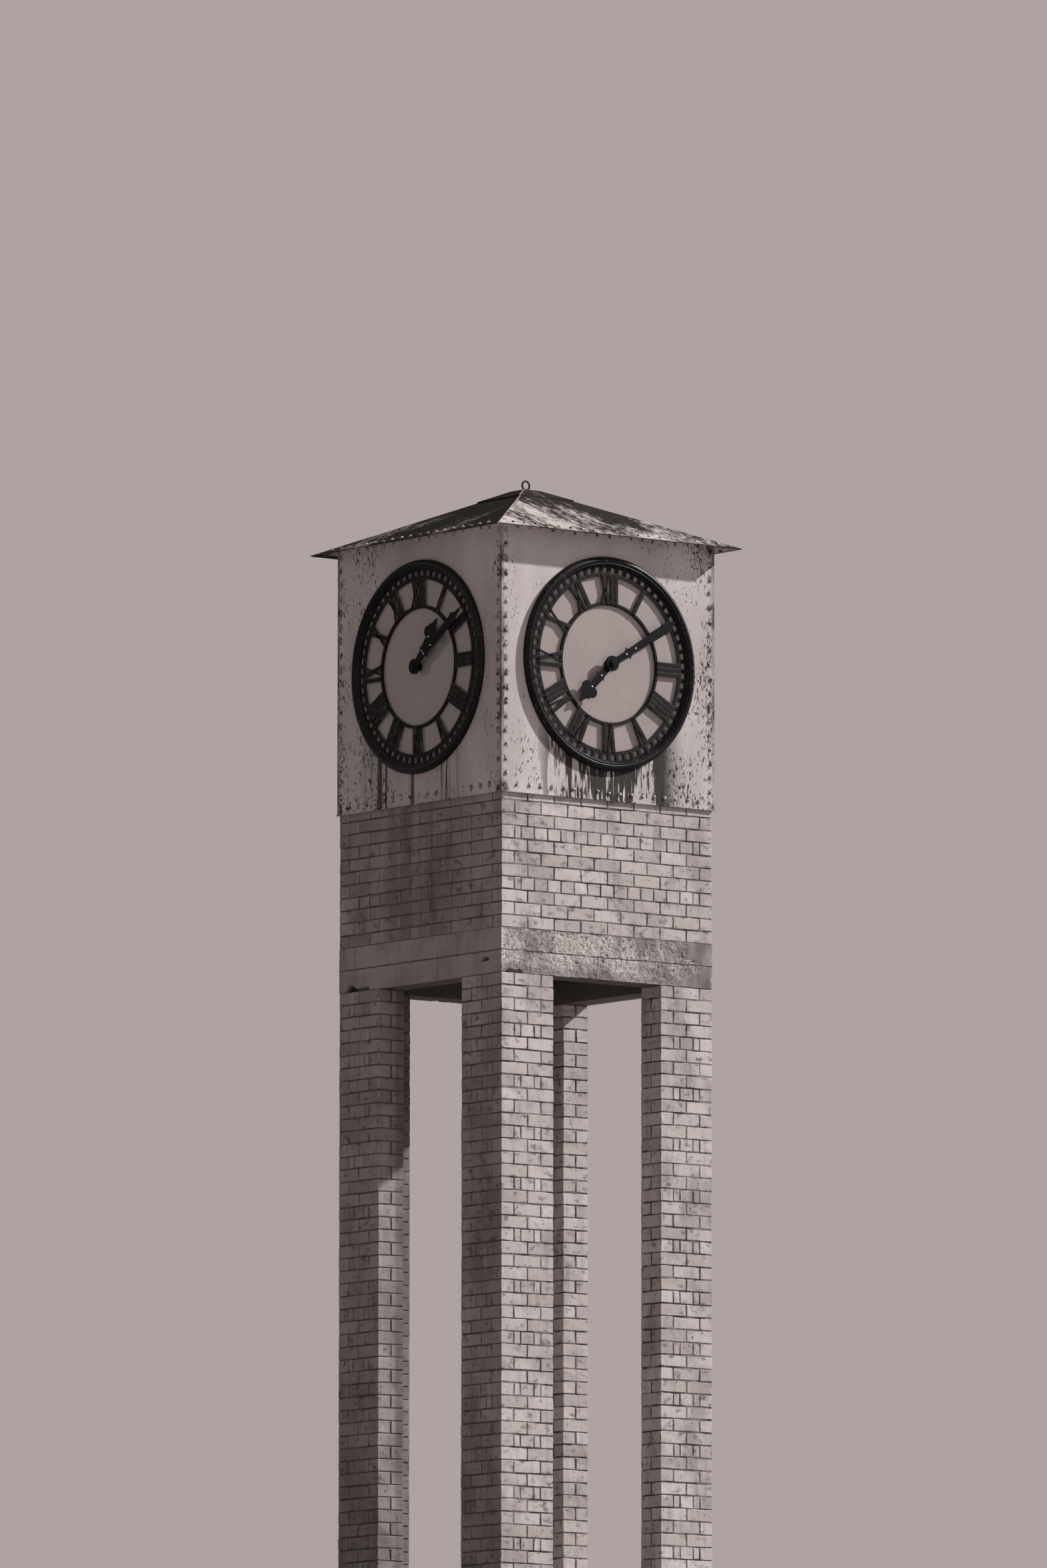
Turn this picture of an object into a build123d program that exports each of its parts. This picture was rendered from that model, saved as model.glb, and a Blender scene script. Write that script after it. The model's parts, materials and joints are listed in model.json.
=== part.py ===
import math
import os

from build123d import *

os.makedirs("parts", exist_ok=True)

# A square clock tower, in millimetres, +Z up. The origin is on the ground at the tower's
# axis, the front is at -Y and the left side at -X. Four brick corner piers carry a cast
# concrete ring, four brick walls, and a riveted steel case with a skeleton dial in each face.

# Brickwork
brick_length = 220  # also the thickness of every wall, which is one brick
brick_height = 77.5
mortar_joint = 10
bricks_per_face = 8
bricks_per_pier_leg = 2
pier_courses = 48
wall_courses = 11

# Concrete ring beam
beam_height = 305

# Clock case
case_proud = 12  # how far the plates stand out from the brickwork
plate_thickness = 6
plate_lap = 34  # how far the plates hang over the top course
lip_height = 9
lip_proud = 4
angle_leg = 90
angle_thickness = 8
eave_height = 1813  # from the plates' bottom edge to the lower edge of the eaves

# Roof
eave_overhang = 135.5  # from the face of the plates
roof_rise = 448  # of the slope, from the eaves to the tower's axis
roof_thickness = 6
eave_leg_reach = 83  # how far the eave frame's sloping leg reaches out from the plates
roof_hole_width = 200
cap_width = 480
cap_thickness = 8
cap_flat_width = 150

# Lifting eye
eye_bar = 14  # across the flats of its eight-sided bar
eye_ring_radius = 31  # to the middle of the bar
eye_shank_radius = 9
eye_collar_radius = 20
eye_collar_height = 8
eye_nut_radius = 16
eye_nut_height = 12

# Dial, with distances out from the face of the plates
dial_height = 945  # from the plates' bottom edge to the dial's centre
bezel_radius = 740
bezel_inner_radius = 667
bezel_edge = 15
bezel_chamfer = 26
bezel_depth = 41
bezel_slope = 22  # radial width of the slope down to the minute track
sleeve_thickness = 13
sleeve_clearance = 1
glass_margin = 20
glass_thickness = 8
track_inner_radius = 604
track_back = 1
track_thickness = 10
window_count = 60
window_width = 32
window_length = 36
window_radius = 647
numeral_inner_radius = 426
numeral_foot_lap = 13  # how far a stroke runs on over the inner ring
numeral_top_lap = 8  # and over the minute track
numeral_thickness = 15
inner_ring_width = 22
inner_ring_depth = 16  # it is a deeper hoop than the track, and stops just short of the glass
stroke_width = 30  # of a thick stroke
thin_stroke_width = 14
stroke_gap = 4
stroke_taper = 12  # degrees, on the flanks of every stroke
x_width = 80
v_width = 72

# Hands, and the bush through the glass that carries them
bush_radius = 20
bush_head_radius = 32
bush_head_thickness = 8
bush_nut_thickness = 10
bush_front = 31
pipe_clearance = 0.3
pipe_wall = 4.9
arbor_radius = 7
hand_thickness = 5
hour_hand_back = 33
hand_gap = 6
hub_radius = 53
boss_radius = 31
boss_thickness = 5
boss_chamfer = 3
hand_nut_radius = 16
hand_nut_thickness = 7
pipe_tail = 50  # how far the hour pipe reaches in behind the glass
arbor_tail = 70

# Outlines of the hands, each point as a half width and a distance from the arbor
hour_stem = (24, 109)
hour_spur = (41, 137)
hour_neck = (27, 157)
hour_head = (24, 230)
hour_lobe = (70, 270)
hour_notch = (47, 307)
hour_shoulder = (44, 327)
hour_point = (22, 352)
hour_tip_half = 8
hour_hand_length = 396
minute_stem = (24, 128)
minute_spur = (45, 159)
minute_neck = (22, 200)
minute_shoulder = (32, 467)
minute_barb = (43.5, 530)
minute_point = (12, 600)
minute_hand_length = 645
spur_hollow = 5  # depth of the hollow curves beside the spurs
point_hollow = 9  # depth of the hollow curves that lead into the points

# Sizes that follow from those above
course = brick_height + mortar_joint
tower_width = bricks_per_face * (brick_length + mortar_joint) - mortar_joint
tower_half = tower_width / 2
pier_leg = bricks_per_pier_leg * (brick_length + mortar_joint) - mortar_joint
inner_width = tower_width - 2 * brick_length
pier_height = pier_courses * course
beam_top = pier_height + beam_height
wall_height = wall_courses * course
brick_top = beam_top + wall_height
case_width = tower_width + 2 * case_proud
case_half = case_width / 2
case_inside = case_half - plate_thickness
chamber_half = case_inside - angle_thickness
case_bottom = brick_top - plate_lap
eave_bottom = case_bottom + eave_height
roof_half = case_half + eave_overhang
roof_slope = math.atan(roof_rise / roof_half)
dial_centre = case_bottom + dial_height
sleeve_radius = bezel_inner_radius + sleeve_thickness

sides = {"front": (0, -1), "right": (1, 0), "back": (0, 1), "left": (-1, 0)}
corners = {
    "front_left": (-1, -1),
    "front_right": (1, -1),
    "back_right": (1, 1),
    "back_left": (-1, 1),
}


def spans_corners(side):
    """The front and back pieces run the full width, and the others fit between them."""
    return side in ("front", "back")


def face_plane(side, height, clockwise=0):
    """A plane on one face of the case: x to a viewer's right, y up and z outwards.

    With clockwise, in degrees, its y turns towards that place on the dial.
    """
    outward = Vector(*sides[side], 0)
    up = Vector(0, 0, 1)
    turn = math.radians(clockwise)
    across = up.cross(outward) * math.cos(turn) - up * math.sin(turn)
    return Plane(outward * case_half + up * height, across, outward)


def slope_plane(side, lift=0):
    """The underside of one slope of the roof, raised by lift: x along the eave and y up the slope."""
    outward = Vector(*sides[side], 0)
    up = Vector(0, 0, 1)
    normal = outward * math.sin(roof_slope) + up * math.cos(roof_slope)
    return Plane(outward * roof_half + up * eave_bottom + normal * lift, up.cross(outward), normal)


def slope_height(half, lift=0):
    """The height of that plane at a distance from the tower's axis."""
    return eave_bottom + (roof_half - half) * math.tan(roof_slope) + lift / math.cos(roof_slope)


def roofed_block(half, bottom, top, lift):
    """A square block cut down to the four slopes of the roof, raised by lift."""
    with BuildPart() as block:
        with BuildSketch(Plane.XY.offset(bottom)):
            Rectangle(2 * half, 2 * half)
        extrude(amount=top - bottom)
        for side in sides:
            split(bisect_by=slope_plane(side, lift), keep=Keep.BOTTOM)
    return block.part


# Corner piers: an L in plan, with its outer corner at the corner of the tower
for corner, (along_x, along_y) in corners.items():
    with BuildPart() as pier:
        with BuildSketch():
            with Locations((along_x * (tower_half - pier_leg / 2), along_y * (tower_half - brick_length / 2))):
                Rectangle(pier_leg, brick_length)
            with Locations((along_x * (tower_half - brick_length / 2), along_y * (tower_half - pier_leg / 2))):
                Rectangle(brick_length, pier_leg)
        extrude(amount=pier_height)
    pier.part.label = f"pier_{corner}"
    export_step(pier.part, f"parts/pier_{corner}.step")

# Ring beam
with BuildPart() as ring_beam:
    with BuildSketch(Plane.XY.offset(pier_height)):
        Rectangle(tower_width, tower_width)
        Rectangle(inner_width, inner_width, mode=Mode.SUBTRACT)
    extrude(amount=beam_height)
ring_beam.part.label = "ring_beam"
export_step(ring_beam.part, "parts/ring_beam.step")

# Brick walls on the beam
for side, (out_x, out_y) in sides.items():
    wall_length = tower_width if spans_corners(side) else inner_width
    wall_middle = tower_half - brick_length / 2
    with BuildPart() as brick_wall:
        with BuildSketch(Plane.XY.offset(beam_top)):
            with Locations((out_x * wall_middle, out_y * wall_middle)):
                Rectangle(abs(out_y) * wall_length + abs(out_x) * brick_length,
                          abs(out_x) * wall_length + abs(out_y) * brick_length)
        extrude(amount=wall_height)
    brick_wall.part.label = f"brick_wall_{side}"
    export_step(brick_wall.part, f"parts/brick_wall_{side}.step")

# Frame of angle bar on the brickwork, inside the foot of the plates
with BuildPart() as base_frame:
    with BuildSketch(Plane.XY.offset(brick_top)):
        Rectangle(2 * case_inside, 2 * case_inside)
        Rectangle(2 * chamber_half, 2 * chamber_half, mode=Mode.SUBTRACT)
    extrude(amount=angle_leg)
    with BuildSketch(Plane.XY.offset(brick_top)):
        Rectangle(2 * case_inside, 2 * case_inside)
        Rectangle(2 * (case_inside - angle_leg), 2 * (case_inside - angle_leg), mode=Mode.SUBTRACT)
    extrude(amount=angle_thickness)
base_frame.part.label = "case_base_frame"
export_step(base_frame.part, "parts/case_base_frame.step")

# Case plates, each with a round hole for its dial and a thin lip along its foot
plate_top = slope_height(case_half, -angle_thickness)
plate_height = plate_top - case_bottom
for side in sides:
    face = face_plane(side, case_bottom)
    plate_width = case_width if spans_corners(side) else 2 * case_inside
    lip_width = case_width + 2 * lip_proud if spans_corners(side) else case_width
    with BuildPart() as plate:
        with BuildSketch(face.offset(-plate_thickness)):
            with Locations((0, plate_height / 2)):
                Rectangle(plate_width, plate_height)
            with Locations((0, dial_height)):
                Circle(sleeve_radius + sleeve_clearance, mode=Mode.SUBTRACT)
        extrude(amount=plate_thickness)
        with BuildSketch(face):
            with Locations((0, lip_height / 2)):
                Rectangle(lip_width, lip_height)
        extrude(amount=lip_proud)
    plate.part.label = f"case_plate_{side}"
    export_step(plate.part, f"parts/case_plate_{side}.step")

# Eave frame: an upright leg inside the plates, and a leg that slopes out over their top edges
eave_leg_half = case_half + eave_leg_reach
eave_leg_foot = slope_height(eave_leg_half, -angle_thickness)
eave_frame_bottom = plate_top - angle_leg
eave_frame_top = slope_height(chamber_half)
with BuildPart() as eave_frame:
    add(roofed_block(eave_leg_half, eave_leg_foot, eave_frame_top, 0))
    add(roofed_block(eave_leg_half, eave_leg_foot, eave_frame_top, -angle_thickness), mode=Mode.SUBTRACT)
    with BuildSketch(Plane.XY.offset(eave_frame_bottom)):
        Rectangle(2 * case_inside, 2 * case_inside)
    extrude(amount=slope_height(case_inside) - eave_frame_bottom)
    with BuildSketch(Plane.XY.offset(eave_frame_bottom)):
        Rectangle(2 * chamber_half, 2 * chamber_half)
    extrude(amount=eave_frame_top - eave_frame_bottom, mode=Mode.SUBTRACT)
eave_frame.part.label = "eave_frame"
export_step(eave_frame.part, "parts/eave_frame.step")

# Angles up the four inside corners of the case, between the two frames
corner_angle_bottom = brick_top + angle_leg
with BuildPart() as corner_angles:
    for along_x, along_y in corners.values():
        leg_middle = case_inside - angle_leg / 2
        web_middle = case_inside - angle_thickness / 2
        with BuildSketch(Plane.XY.offset(corner_angle_bottom)):
            with Locations((along_x * leg_middle, along_y * web_middle)):
                Rectangle(angle_leg, angle_thickness)
            with Locations((along_x * web_middle, along_y * leg_middle)):
                Rectangle(angle_thickness, angle_leg)
        extrude(amount=eave_frame_bottom - corner_angle_bottom)
corner_angles.part.label = "corner_angles"
export_step(corner_angles.part, "parts/corner_angles.step")

# Roof panels: flat sheets that meet at mitred hips, with a square hole left under the cap
slope_length = (roof_half - roof_hole_width / 2) / math.cos(roof_slope)
for side, (out_x, out_y) in sides.items():
    with BuildPart() as roof_panel:
        with BuildSketch(slope_plane(side)):
            Rectangle(3 * roof_half, slope_length, align=(Align.CENTER, Align.MIN))
        extrude(amount=roof_thickness)
        split(bisect_by=Plane((0, 0, 0), z_dir=(out_x + out_y, out_y - out_x, 0)), keep=Keep.TOP)
        split(bisect_by=Plane((0, 0, 0), z_dir=(out_x - out_y, out_y + out_x, 0)), keep=Keep.TOP)
    roof_panel.part.label = f"roof_panel_{side}"
    export_step(roof_panel.part, f"parts/roof_panel_{side}.step")

# Roof cap: a raised square sheet over the upper ends of the panels, with a flat for the eye
cap_half = cap_width / 2
cap_foot = slope_height(cap_half, roof_thickness)
cap_top = slope_height(cap_flat_width / 2, roof_thickness + cap_thickness)
with BuildPart() as roof_cap:
    add(roofed_block(cap_half, cap_foot, cap_top, roof_thickness + cap_thickness))
    add(roofed_block(cap_half, cap_foot, cap_top - cap_thickness, roof_thickness), mode=Mode.SUBTRACT)
    with Locations((0, 0, cap_top)):
        Hole(eye_shank_radius)
roof_cap.part.label = "roof_cap"
export_step(roof_cap.part, "parts/roof_cap.step")

# Lifting eye: a ring of eight-sided bar on a collar, with its shank and nut through the cap
eye_centre = cap_top + eye_collar_height + eye_ring_radius
bar_sides = 8
with BuildPart() as lifting_eye:
    with BuildSketch(Plane.XY.offset(eye_centre)):
        with Locations((eye_ring_radius, 0)):
            RegularPolygon(eye_bar / 2, bar_sides, major_radius=False, rotation=180 / bar_sides)
    revolve(axis=Axis((0, 0, eye_centre), (0, 1, 0)))
    with BuildSketch(Plane.XY.offset(cap_top)):
        Circle(eye_collar_radius)
    extrude(amount=eye_collar_height)
    with BuildSketch(Plane.XY.offset(cap_top)):
        Circle(eye_shank_radius)
    extrude(amount=-cap_thickness - eye_nut_height)
    with BuildSketch(Plane.XY.offset(cap_top - cap_thickness)):
        RegularPolygon(eye_nut_radius, 6)
    extrude(amount=-eye_nut_height)
lifting_eye.part.label = "lifting_eye"
export_step(lifting_eye.part, "parts/lifting_eye.step")


# Dial casting, made once in its own frame: the numerals, inner ring, minute track and bezel
numerals = ["XII", "I", "II", "III", "IIII", "V", "VI", "VII", "VIII", "IX", "X", "XI"]
letter_widths = {"I": stroke_width, "V": v_width, "X": x_width}


def strokes_of(numeral):
    """Each stroke as the left and right of its top, then of its foot."""
    strokes = []
    widths = [letter_widths[letter] for letter in numeral]
    left = -(sum(widths) + stroke_gap * (len(numeral) - 1)) / 2
    for letter, width in zip(numeral, widths):
        right = left + width
        middle = left + width / 2
        if letter == "I":
            strokes.append((left, right, left, right))
        if letter == "V":
            strokes.append((left, left + stroke_width, middle - thin_stroke_width, middle + thin_stroke_width))
            strokes.append((right - thin_stroke_width, right, middle, middle + thin_stroke_width))
        if letter == "X":
            strokes.append((left, left + stroke_width, right - stroke_width, right))
            strokes.append((right - thin_stroke_width, right, left, left + thin_stroke_width))
        left = right + stroke_gap
    return strokes


stroke_top = track_inner_radius + numeral_top_lap
stroke_foot = numeral_inner_radius - numeral_foot_lap
track_front = track_back + track_thickness

with BuildPart() as casting:
    for hour, numeral in enumerate(numerals):
        turn = math.radians(360 / len(numerals) * hour)
        across = (math.cos(turn), -math.sin(turn), 0)
        for top_left, top_right, foot_left, foot_right in strokes_of(numeral):
            with BuildSketch(Plane((0, 0, track_back), x_dir=across, z_dir=(0, 0, 1))):
                Polygon(
                    (top_left, stroke_top),
                    (foot_left, stroke_foot),
                    (foot_right, stroke_foot),
                    (top_right, stroke_top),
                    align=None,
                )
            extrude(amount=numeral_thickness, taper=stroke_taper)
    with BuildSketch(Plane.XY.offset(track_front)):
        Circle(numeral_inner_radius)
        Circle(numeral_inner_radius - inner_ring_width, mode=Mode.SUBTRACT)
    extrude(amount=-inner_ring_depth)
    with BuildSketch(Plane.XY.offset(track_back)):
        Circle(bezel_inner_radius + sleeve_thickness / 2)
        Circle(track_inner_radius, mode=Mode.SUBTRACT)
        with PolarLocations(window_radius, window_count, start_angle=180 / window_count):
            Rectangle(window_length, window_width, mode=Mode.SUBTRACT)
    extrude(amount=track_thickness)
    with BuildSketch(Plane.XZ):
        with BuildLine():
            Polyline(
                (bezel_inner_radius, track_front),
                (bezel_inner_radius, -plate_thickness),
                (sleeve_radius, -plate_thickness),
                (sleeve_radius, 0),
                (bezel_radius, 0),
                (bezel_radius, bezel_edge),
                (bezel_radius - bezel_chamfer, bezel_depth),
                (bezel_inner_radius + bezel_slope, bezel_depth),
                close=True,
            )
        make_face()
    revolve(axis=Axis.Z)

for side in sides:
    with BuildPart(face_plane(side, dial_centre)) as dial:
        add(casting.part)
    dial.part.label = f"dial_{side}"
    export_step(dial.part, f"parts/dial_{side}.step")

# Opal glass behind each dial, held against the back of the plate and the end of the sleeve
for side in sides:
    with BuildPart() as glass:
        with BuildSketch(face_plane(side, dial_centre).offset(-plate_thickness)):
            Circle(sleeve_radius + glass_margin)
            Circle(bush_radius, mode=Mode.SUBTRACT)
        extrude(amount=-glass_thickness)
    glass.part.label = f"dial_glass_{side}"
    export_step(glass.part, f"parts/dial_glass_{side}.step")

# Bush through the glass, with a hexagonal head in front and a nut behind
pipe_radius = arbor_radius + pipe_clearance + pipe_wall
bush_length = bush_front + plate_thickness + glass_thickness + bush_nut_thickness
for side in sides:
    face = face_plane(side, dial_centre)
    with BuildPart() as bush:
        with BuildSketch(face.offset(bush_front)):
            Circle(bush_radius)
        extrude(amount=-bush_length)
        with BuildSketch(face.offset(-plate_thickness)):
            RegularPolygon(bush_head_radius, 6)
        extrude(amount=bush_head_thickness)
        with BuildSketch(face.offset(-plate_thickness - glass_thickness)):
            RegularPolygon(bush_head_radius, 6)
        extrude(amount=-bush_nut_thickness)
        with BuildSketch(face.offset(bush_front)):
            Circle(pipe_radius + pipe_clearance)
        extrude(amount=-bush_length, mode=Mode.SUBTRACT)
    bush.part.label = f"dial_bush_{side}"
    export_step(bush.part, f"parts/dial_bush_{side}.step")

# The hands stand at the times that the dials show, in degrees clockwise from XII
hand_angles = {
    "front": {"hour": 225, "minute": 59},
    "right": {"hour": 39, "minute": 56},
    "back": {"hour": 225, "minute": 59},
    "left": {"hour": 39, "minute": 56},
}
minute_hand_back = hour_hand_back + hand_thickness + hand_gap
pipe_length = hour_hand_back + plate_thickness + glass_thickness + pipe_tail
arbor_length = minute_hand_back + plate_thickness + glass_thickness + arbor_tail

for side in sides:
    face = face_plane(side, dial_centre, hand_angles[side]["hour"])
    with BuildPart() as hour_hand:
        with BuildSketch(face.offset(hour_hand_back)):
            with BuildLine():
                Polyline((0, 0), (hour_stem[0], 0), hour_stem)
                SagittaArc(hour_stem, hour_spur, spur_hollow)
                SagittaArc(hour_spur, hour_neck, spur_hollow)
                Line(hour_neck, hour_head)
                ThreePointArc(hour_head, hour_lobe, hour_notch)
                Line(hour_notch, hour_shoulder)
                SagittaArc(hour_shoulder, hour_point, spur_hollow)
                Line(hour_point, (hour_tip_half, hour_hand_length - hour_tip_half))
                RadiusArc((hour_tip_half, hour_hand_length - hour_tip_half), (0, hour_hand_length), -hour_tip_half)
                Line((0, hour_hand_length), (0, 0))
            make_face()
            mirror(about=Plane.YZ)
            Circle(hub_radius)
        extrude(amount=hand_thickness)
        with BuildSketch(face.offset(hour_hand_back)):
            Circle(pipe_radius)
        extrude(amount=-pipe_length)
        with BuildSketch(face.offset(hour_hand_back + hand_thickness)):
            Circle(arbor_radius + pipe_clearance)
        extrude(amount=-pipe_length - hand_thickness, mode=Mode.SUBTRACT)
    hour_hand.part.label = f"hour_hand_{side}"
    export_step(hour_hand.part, f"parts/hour_hand_{side}.step")

for side in sides:
    face = face_plane(side, dial_centre, hand_angles[side]["minute"])
    hand_front = minute_hand_back + hand_thickness
    with BuildPart() as minute_hand:
        with BuildSketch(face.offset(hand_front)):
            Circle(boss_radius)
        extrude(amount=boss_thickness)
        chamfer(minute_hand.edges().group_by(Axis(face.origin, face.z_dir))[-1], length=boss_chamfer)
        with BuildSketch(face.offset(minute_hand_back)):
            with BuildLine():
                Polyline((0, 0), (minute_stem[0], 0), minute_stem)
                SagittaArc(minute_stem, minute_spur, spur_hollow)
                SagittaArc(minute_spur, minute_neck, point_hollow)
                Line(minute_neck, minute_shoulder)
                SagittaArc(minute_shoulder, minute_barb, spur_hollow)
                SagittaArc(minute_barb, minute_point, point_hollow)
                Line(minute_point, (0, minute_hand_length))
                Line((0, minute_hand_length), (0, 0))
            make_face()
            mirror(about=Plane.YZ)
            Circle(hub_radius)
        extrude(amount=hand_thickness)
        with BuildSketch(face.offset(minute_hand_back)):
            Circle(arbor_radius)
        extrude(amount=-arbor_length)
        with BuildSketch(face.offset(hand_front + boss_thickness)):
            RegularPolygon(hand_nut_radius, 6)
        extrude(amount=hand_nut_thickness)
    minute_hand.part.label = f"minute_hand_{side}"
    export_step(minute_hand.part, f"parts/minute_hand_{side}.step")
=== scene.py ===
import json
import math
import random

import bmesh
import bpy
from mathutils import Matrix, Vector, noise


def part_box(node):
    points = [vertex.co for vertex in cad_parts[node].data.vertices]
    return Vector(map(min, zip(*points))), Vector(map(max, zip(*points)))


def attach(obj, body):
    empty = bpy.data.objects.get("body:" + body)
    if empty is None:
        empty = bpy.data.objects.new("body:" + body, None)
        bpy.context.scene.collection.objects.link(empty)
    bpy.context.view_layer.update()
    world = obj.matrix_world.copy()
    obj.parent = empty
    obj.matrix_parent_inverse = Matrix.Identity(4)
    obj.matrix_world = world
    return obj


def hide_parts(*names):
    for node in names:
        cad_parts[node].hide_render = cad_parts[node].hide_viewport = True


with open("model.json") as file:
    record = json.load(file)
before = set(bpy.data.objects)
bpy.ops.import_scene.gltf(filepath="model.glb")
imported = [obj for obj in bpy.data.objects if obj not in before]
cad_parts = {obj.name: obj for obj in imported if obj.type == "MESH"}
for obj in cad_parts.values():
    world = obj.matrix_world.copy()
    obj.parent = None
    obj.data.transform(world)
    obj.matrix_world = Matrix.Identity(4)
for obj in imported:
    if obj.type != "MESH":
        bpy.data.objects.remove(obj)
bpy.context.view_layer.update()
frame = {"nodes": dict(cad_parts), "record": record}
nodes = frame["nodes"]

# A square clock tower seen from below: painted brick piers, a concrete ring, brick walls, and
# a riveted steel case with a cast skeleton dial in each face. Everything is in metres.
sides = {"front": 0, "right": 90, "back": 180, "left": 270}  # degrees about the tower's axis
corners = {"front_left": (-1, -1), "front_right": (1, -1), "back_right": (1, 1), "back_left": (-1, 1)}

# Places read from the frame
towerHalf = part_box("ring_beam")[1].x
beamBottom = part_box("ring_beam")[0].z
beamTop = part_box("ring_beam")[1].z
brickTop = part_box("brick_wall_front")[1].z
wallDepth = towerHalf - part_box("brick_wall_right")[0].x
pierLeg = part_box("pier_front_left")[1].x + towerHalf
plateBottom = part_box("case_plate_front")[0].z
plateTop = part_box("case_plate_front")[1].z
lipProud = 0.004
caseHalf = -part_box("case_plate_front")[0].y - lipProud
dialCentre = (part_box("dial_front")[0].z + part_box("dial_front")[1].z) / 2
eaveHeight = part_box("roof_panel_front")[0].z
eaveHalf = -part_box("roof_panel_front")[0].y
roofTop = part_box("roof_cap")[1].z


def turned(side):
    return Matrix.Rotation(math.radians(sides[side]), 4, "Z")


def facePlace(side, height, proud=0.0):
    # x to a viewer's right, y up and z outwards, on one face of the case
    lifted = Matrix.Translation((0, -caseHalf - proud, height))
    return turned(side) @ lifted @ Matrix.Rotation(math.radians(90), 4, "X")


def toMesh(bm, name):
    mesh = bpy.data.meshes.new(name)
    bm.to_mesh(mesh)
    bm.free()
    return mesh


def addObject(name, data):
    thing = bpy.data.objects.new(name, data)
    bpy.context.scene.collection.objects.link(thing)
    return thing


def makePiece(name, bm, materials, body="tower", replaced=(), smoothAngle=None):
    mesh = toMesh(bm, name)
    if smoothAngle:
        mesh.shade_smooth()
        mesh.set_sharp_from_angle(angle=math.radians(smoothAngle))
    for material in materials:
        mesh.materials.append(material)
    piece = addObject(name, mesh)
    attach(piece, body)
    if replaced:
        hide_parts(*replaced)


def newVerts(made):
    return [g for g in made["geom"] if isinstance(g, bmesh.types.BMVert)]


# Shader helpers: each adds nodes to the material in hand and returns an output
making = {}


def tone(red, green, blue):
    # a colour given as it shows on a screen, 0 to 255
    return tuple(((c / 255 + 0.055) / 1.055) ** 2.4 for c in (red, green, blue)) + (1,)


def addNode(kind, inputs, output=0, **settings):
    tree = making["tree"]
    node = tree.nodes.new(kind)
    for name, value in settings.items():
        setattr(node, name, value)
    for name, value in inputs.items():
        if isinstance(value, bpy.types.NodeSocket):
            tree.links.new(value, node.inputs[name])
        else:
            node.inputs[name].default_value = value
    return node.outputs[output]


def startNodes(owner):
    # empties a material's or the world's nodes, and the helpers then fill them
    owner.use_nodes = True
    owner.node_tree.nodes.clear()
    making["tree"] = owner.node_tree


def setSurface(kind, shader):
    out = making["tree"].nodes.new(kind)
    making["tree"].links.new(shader, out.inputs["Surface"])


def newMaterial(name):
    making["material"] = bpy.data.materials.new(name)
    startNodes(making["material"])
    return addNode("ShaderNodeTexCoord", {}, "Object")


def finishMaterial(colour, roughness, normal, **sockets):
    inputs = {"Base Color": colour, "Roughness": roughness, "Normal": normal}
    inputs.update({name.replace("_", " "): value for name, value in sockets.items()})
    setSurface("ShaderNodeOutputMaterial", addNode("ShaderNodeBsdfPrincipled", inputs))
    return making["material"]


def calc(operation, first, second=0.0, clamp=False):
    return addNode("ShaderNodeMath", {0: first, 1: second}, operation=operation, use_clamp=clamp)


def inTurn(operation):
    # a sum, difference, product or maximum of two or more values
    def steps(first, *others):
        for other in others:
            first = calc(operation, first, other)
        return first
    return steps


plus = inTurn("ADD")
minus = inTurn("SUBTRACT")
times = inTurn("MULTIPLY")
larger = inTurn("MAXIMUM")


def noiseOf(place, scale, stretch=(1, 1, 1), detail=3.0, shift=(0, 0, 0), rough=0.55):
    mapped = addNode("ShaderNodeMapping", {"Vector": place, "Scale": stretch, "Location": shift})
    return addNode("ShaderNodeTexNoise",
                   {"Vector": mapped, "Scale": scale, "Detail": detail, "Roughness": rough})


def spread(value, low, high, toLow=0.0, toHigh=1.0):
    # low to high becomes toLow to toHigh, and stops there
    return addNode("ShaderNodeMapRange", {"Value": value, "From Min": low, "From Max": high,
                                          "To Min": toLow, "To Max": toHigh}, clamp=True)


def blendTones(amount, first, second):
    return addNode("ShaderNodeMix", {0: amount, 6: first, 7: second}, output=2, data_type="RGBA")


def layOver(colour, look, **amounts):
    # lays the look's tones over a colour, one after another, each as thickly as its amount says
    for name, amount in amounts.items():
        colour = blendTones(amount, colour, look[name])
    return colour


def bumpOf(height, strength, distance, normal=None):
    inputs = {"Height": height, "Strength": strength, "Distance": distance}
    if normal is not None:
        inputs["Normal"] = normal
    return addNode("ShaderNodeBump", inputs)


def attributeOf(name):
    return addNode("ShaderNodeAttribute", {}, "Fac", attribute_name=name)


def axisOf(place, axis):
    return addNode("ShaderNodeSeparateXYZ", {"Vector": place}, axis)


def lengthOf(place):
    return addNode("ShaderNodeVectorMath", {0: place}, "Value", operation="LENGTH")


def hypotOf(first, second):
    return calc("SQRT", plus(times(first, first), times(second, second)))


def onFace(place, half):
    # in plan: the distance from the tower's axis, and along a face that is half away from it
    fromAxis = lengthOf(addNode("ShaderNodeVectorMath", {0: place, 1: (1, 1, 0)}, operation="MULTIPLY"))
    squared = minus(times(fromAxis, fromAxis), half ** 2)
    return fromAxis, calc("SQRT", larger(squared, 0.0))


brickLook = {"dull": tone(203, 190, 187), "pale": tone(233, 221, 218), "grime": tone(134, 122, 118),
             "drips": tone(120, 108, 104), "wet": tone(80, 72, 69), "grain": tone(160, 147, 142),
             "smudges": tone(88, 78, 75), "edgeDirt": tone(74, 66, 63), "pits": tone(56, 49, 47)}


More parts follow.
